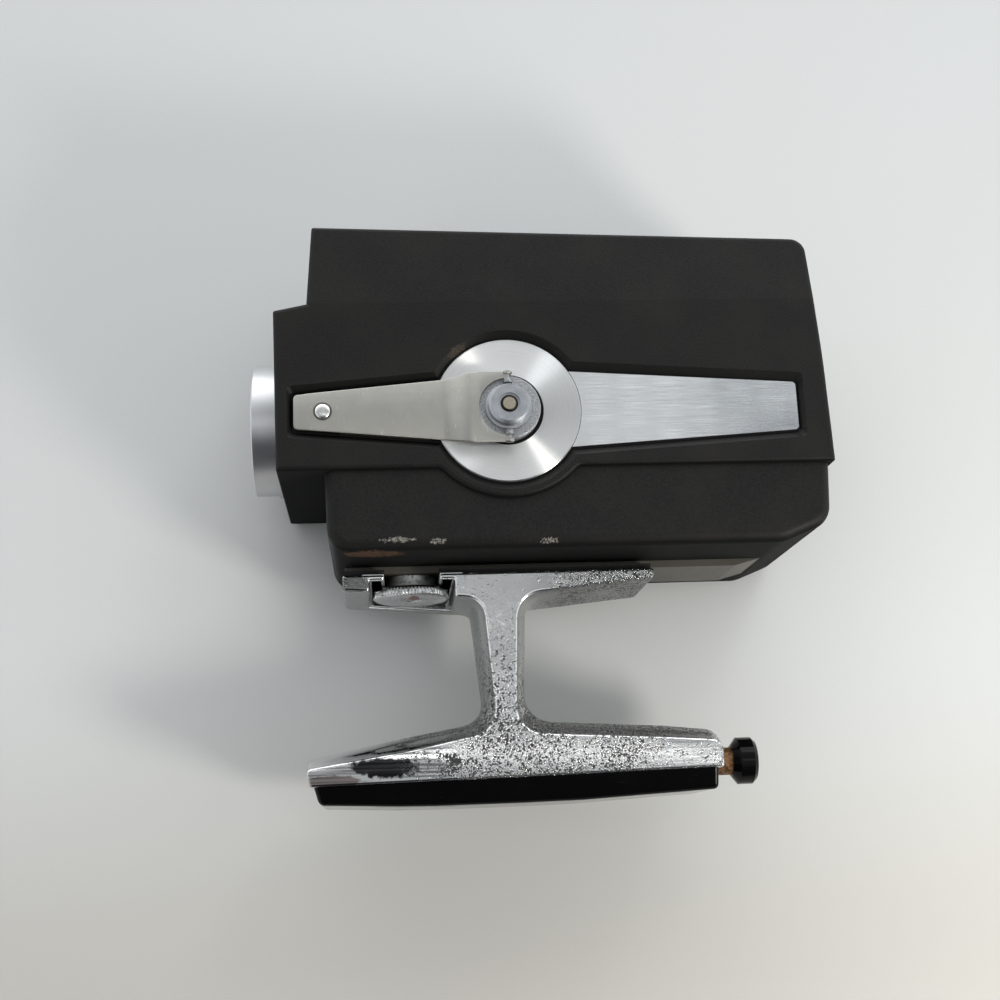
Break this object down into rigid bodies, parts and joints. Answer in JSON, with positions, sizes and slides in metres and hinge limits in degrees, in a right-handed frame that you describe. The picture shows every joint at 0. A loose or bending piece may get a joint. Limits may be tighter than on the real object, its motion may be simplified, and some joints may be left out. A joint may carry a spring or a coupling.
{
  "type": "movie camera",
  "caption": "Spring-wound movie camera for 8 mm film with a folding winding crank, a turning lens ring and a cast hand grip with a plunger release.",
  "frame": {"origin": "middle of the camera's bounding box in plan, on the plane of its right side, on which it lies", "axes": "+X towards the eyepiece end, -X the way the lens looks, +Y towards the top of the camera, +Z towards the operator's left side, which carries the crank"},
  "size_m": [0.1646, 0.1608, 0.0744],
  "materials": {
    "wrinkle_paint": "fine dark grey wrinkle paint",
    "panel_paint": "satin dark grey paint",
    "base_paint": "satin grey paint",
    "spun_aluminium": "spun, with fine rings",
    "brushed_plate": "long brushed",
    "satin_nickel": "satin nickel on bent sheet",
    "zinc": "grey zinc casting",
    "steel": "plain steel",
    "worn_brass": "browned brass",
    "brass": "turned brass",
    "chrome": "chrome on a casting, pitted",
    "satin_silver": "satin anodised",
    "glass": "coated glass",
    "clear_plastic": "clear ribbed plastic",
    "selenium": "dark light cell",
    "black_plastic": "glossy black plastic",
    "black_rubber": "moulded rubber"
  },
  "bodies": {
    "camera": {"left_cover": "wrinkle_paint", "main_casting": "wrinkle_paint", "right_cover": "wrinkle_paint", "front_panel": "panel_paint", "meter_window": "clear_plastic", "meter_cell": "selenium", "lens_barrel": "panel_paint", "front_element": "glass", "rear_element": "glass", "finder_window": "glass", "eyepiece": "black_plastic", "eyepiece_lens": "glass", "trim_disc": "spun_aluminium", "side_plate": "brushed_plate", "crank_hub": "zinc", "fold_pins": "steel", "click_pin": "steel", "bridge_plate": "steel", "bridge_pillars": "steel", "governor_cup": "panel_paint", "shutter_bearing": "brass", "film_gate": "panel_paint", "pressure_plate": "steel", "film_claw": "steel", "door_pin": "steel", "door_catch": "steel", "cover_screws": "steel", "bridge_screws": "steel", "click_spring": "steel", "base_plate": "base_paint", "tripod_bush": "brass", "grip_casting": "chrome", "rubber_pad": "black_rubber", "palm_pad": "black_plastic"},
    "crank": {"crank_arm": "satin_nickel", "crank_rivet": "satin_nickel"},
    "peg": {"crank_peg": "satin_nickel"},
    "winding": {"winding_arbor": "steel", "winding_knob": "zinc", "knob_pin": "worn_brass", "ratchet_wheel": "steel"},
    "click": {"click": "steel"},
    "barrel": {"spring_barrel": "brass", "barrel_lid": "brass", "mainspring": "steel"},
    "centre_wheel": {"centre_wheel": "brass"},
    "governor": {"governor_staff": "steel", "governor_weights": "brass"},
    "shutter": {"shutter_shaft": "steel", "shutter_disc": "panel_paint"},
    "takeup": {"takeup_gear": "brass", "takeup_spindle": "steel"},
    "focus": {"focus_ring": "satin_silver"},
    "start": {"start_button": "chrome"},
    "door": {"film_door": "wrinkle_paint"},
    "screw": {"grip_screw": "chrome"},
    "plunger": {"plunger_stem": "worn_brass", "plunger_button": "black_plastic"}
  },
  "joints": [
    {"name": "crank_fold", "type": "hinge", "parent": "camera", "child": "crank", "pos_m": [-0.0103, 0.02561, 0.07095], "axis": [0, 1, 0], "range_deg": [0, 180]},
    {"name": "peg_spin", "type": "hinge", "parent": "crank", "child": "peg", "pos_m": [-0.0611, 0.02561, 0.063], "axis": [0, 0, 1], "continuous": true},
    {"name": "winding_spin", "type": "hinge", "parent": "camera", "child": "winding", "pos_m": [-0.0103, 0.02561, 0.0724], "axis": [0, 0, 1], "continuous": true},
    {"name": "click_lift", "type": "hinge", "parent": "camera", "child": "click", "pos_m": [0.0039, 0.03261, 0.063], "axis": [0, 0, -1], "range_deg": [0, 8], "stiffness_Nm_per_rad": 0.01, "springref_deg": -5.73},
    {"name": "barrel_spin", "type": "hinge", "parent": "camera", "child": "barrel", "pos_m": [-0.0103, 0.02561, 0.048], "axis": [0, 0, 1], "continuous": true},
    {"name": "centre_wheel_spin", "type": "hinge", "parent": "camera", "child": "centre_wheel", "pos_m": [-0.0391, 0.02611, 0.043], "axis": [0, 0, 1], "continuous": true},
    {"name": "governor_spin", "type": "hinge", "parent": "camera", "child": "governor", "pos_m": [-0.0391, 0.01331, 0.043], "axis": [0, 0, 1], "continuous": true},
    {"name": "shutter_spin", "type": "hinge", "parent": "camera", "child": "shutter", "pos_m": [-0.0553, 0.02611, 0.0456], "axis": [1, 0, 0], "continuous": true},
    {"name": "takeup_spin", "type": "hinge", "parent": "camera", "child": "takeup", "pos_m": [0.02428, 0.01561, 0.043], "axis": [0, 0, 1], "continuous": true},
    {"name": "focus_turn", "type": "hinge", "parent": "camera", "child": "focus", "pos_m": [-0.0793, 0.03111, 0.031], "axis": [1, 0, 0], "range_deg": [-60, 120]},
    {"name": "start_press", "type": "slide", "parent": "camera", "child": "start", "axis": [1, 0, 0], "range_m": [0, 0.0022], "stiffness_N_per_m": 400, "springref_m": -0.001},
    {"name": "door_hinge", "type": "hinge", "parent": "camera", "child": "door", "pos_m": [0.0067, -0.00349, 0.00125], "axis": [-1, 0, 0], "range_deg": [0, 95]},
    {"name": "screw_spin", "type": "hinge", "parent": "camera", "child": "screw", "pos_m": [-0.0375, -0.01959, 0.0345], "axis": [0, 1, 0], "continuous": true},
    {"name": "plunger_press", "type": "slide", "parent": "camera", "child": "plunger", "axis": [-1, 0, 0], "range_m": [0, 0.0023], "stiffness_N_per_m": 500, "springref_m": -0.001}
  ],
  "couplings": [
    {"joint": "centre_wheel_spin", "follows": "barrel_spin", "ratio": -5},
    {"joint": "governor_spin", "follows": "barrel_spin", "ratio": 15},
    {"joint": "shutter_spin", "follows": "barrel_spin", "ratio": 15},
    {"joint": "takeup_spin", "follows": "barrel_spin", "ratio": -2}
  ]
}
